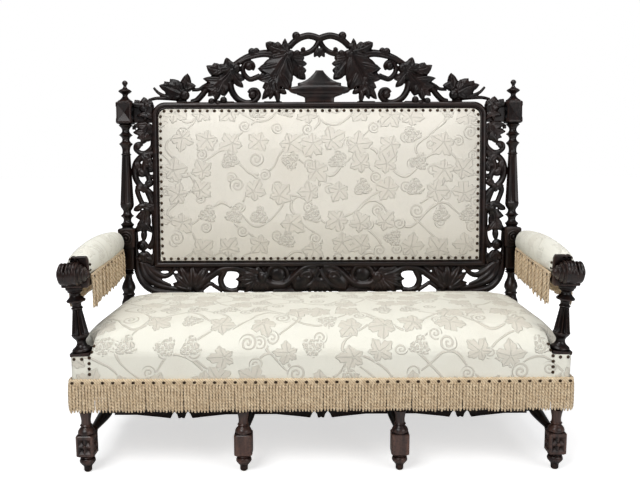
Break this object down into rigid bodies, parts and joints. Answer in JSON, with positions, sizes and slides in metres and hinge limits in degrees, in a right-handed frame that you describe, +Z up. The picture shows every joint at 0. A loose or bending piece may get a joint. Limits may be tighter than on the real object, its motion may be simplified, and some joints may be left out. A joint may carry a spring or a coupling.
{
  "type": "carved oak settee",
  "caption": "Carved dark oak settee with a pierced vine crest, turned posts and legs, scrolled padded arms, a sprung seat in cream jacquard and bullion fringe.",
  "frame": {"origin": "on the floor, under the centre of the bounding box", "axes": "+X along the seat to the sitter's left, +Y from the front to the back, +Z up"},
  "size_m": [1.6826, 0.769, 1.5157],
  "materials": {
    "dark_oak": "dark stained oak, waxed, worn red-brown at the edges",
    "carved_oak": "dark stained carved oak, waxed",
    "cream_jacquard": "cream woven cloth with a tone on tone leaf pattern",
    "bullion_fringe": "tan twisted bullion fringe",
    "linen_back": "plain linen",
    "jute_webbing": "woven jute",
    "spring_wire": "drawn wire"
  },
  "bodies": {
    "root": {"arm_fringe_left_inner": "bullion_fringe", "arm_fringe_left_outer": "bullion_fringe", "arm_fringe_right_inner": "bullion_fringe", "arm_fringe_right_outer": "bullion_fringe", "arm_left": "dark_oak", "arm_pad_left": "cream_jacquard", "arm_pad_right": "cream_jacquard", "arm_post_left": "dark_oak", "arm_post_right": "dark_oak", "arm_right": "dark_oak", "back_cushion": "cream_jacquard", "back_outside_cover": "linen_back", "back_post_left": "dark_oak", "back_post_right": "dark_oak", "crest_left": "carved_oak", "crest_right": "carved_oak", "crest_urn": "carved_oak", "finial_left": "dark_oak", "finial_right": "dark_oak", "front_leg_inner_left": "dark_oak", "front_leg_inner_right": "dark_oak", "front_leg_outer_left": "dark_oak", "front_leg_outer_right": "dark_oak", "link_rail_left": "carved_oak", "link_rail_right": "carved_oak", "long_stretcher_left": "dark_oak", "long_stretcher_middle": "dark_oak", "long_stretcher_right": "dark_oak", "lower_carved_rail": "carved_oak", "panel_bottom_rail": "dark_oak", "panel_stile_left": "dark_oak", "panel_stile_right": "dark_oak", "panel_top_rail": "dark_oak", "rear_leg_inner_left": "dark_oak", "rear_leg_inner_right": "dark_oak", "seat_cross_rail_left": "dark_oak", "seat_cross_rail_right": "dark_oak", "seat_cushion": "cream_jacquard", "seat_fringe_front": "bullion_fringe", "seat_fringe_left": "bullion_fringe", "seat_fringe_right": "bullion_fringe", "seat_rail_front": "dark_oak", "seat_rail_left": "dark_oak", "seat_rail_rear": "dark_oak", "seat_rail_right": "dark_oak", "seat_spring_1": "spring_wire", "seat_spring_2": "spring_wire", "seat_spring_3": "spring_wire", "seat_spring_4": "spring_wire", "seat_spring_5": "spring_wire", "seat_spring_6": "spring_wire", "seat_webbing": "jute_webbing", "side_stretcher_inner_left": "dark_oak", "side_stretcher_inner_right": "dark_oak", "side_stretcher_outer_left": "dark_oak", "side_stretcher_outer_right": "dark_oak", "vine_panel_left": "carved_oak", "vine_panel_right": "carved_oak"}
  },
  "joints": []
}
